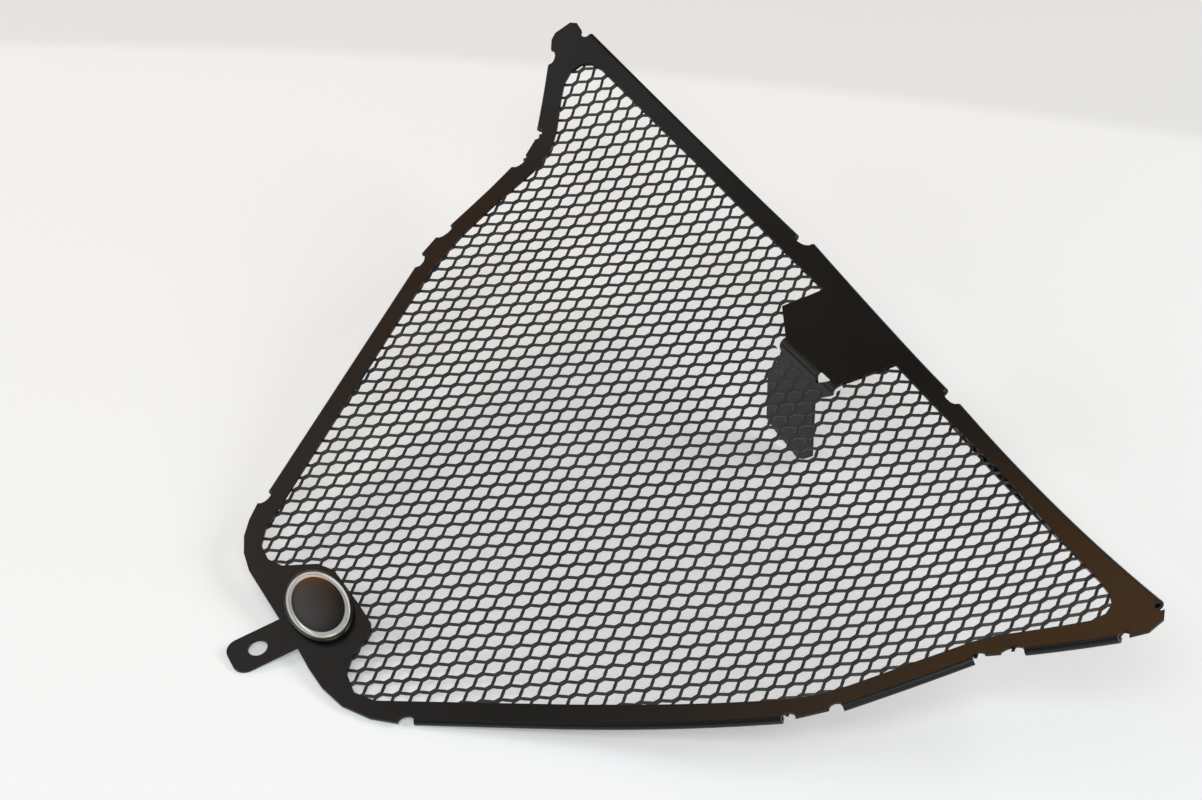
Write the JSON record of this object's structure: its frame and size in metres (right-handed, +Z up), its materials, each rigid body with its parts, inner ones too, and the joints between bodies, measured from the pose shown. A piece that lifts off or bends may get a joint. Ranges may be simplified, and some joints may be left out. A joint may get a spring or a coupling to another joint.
{
  "type": "exhaust header guard",
  "caption": "Curved guard panel of fine expanded metal mesh clamped in a folded sheet frame, with a bolt tab, a bent leg and an oval badge.",
  "frame": {"origin": "centre of the bounding box at the level of the table it rests on, face up on its tab, its leg and its bottom hem", "axes": "+Z up, away from the table; +X to the right along the bottom edge, seen from the front; +Y from the bottom edge towards the top corner"},
  "size_m": [0.2969, 0.3025, 0.0797],
  "materials": {
    "frame": "satin black coating",
    "mesh": "satin black coating",
    "badge_rim": "bright metal rim",
    "badge_dome": "clear gloss over black"
  },
  "bodies": {
    "root": {"frame": "frame", "mesh": "mesh", "badge_rim": "badge_rim", "badge_dome": "badge_dome"}
  },
  "joints": []
}
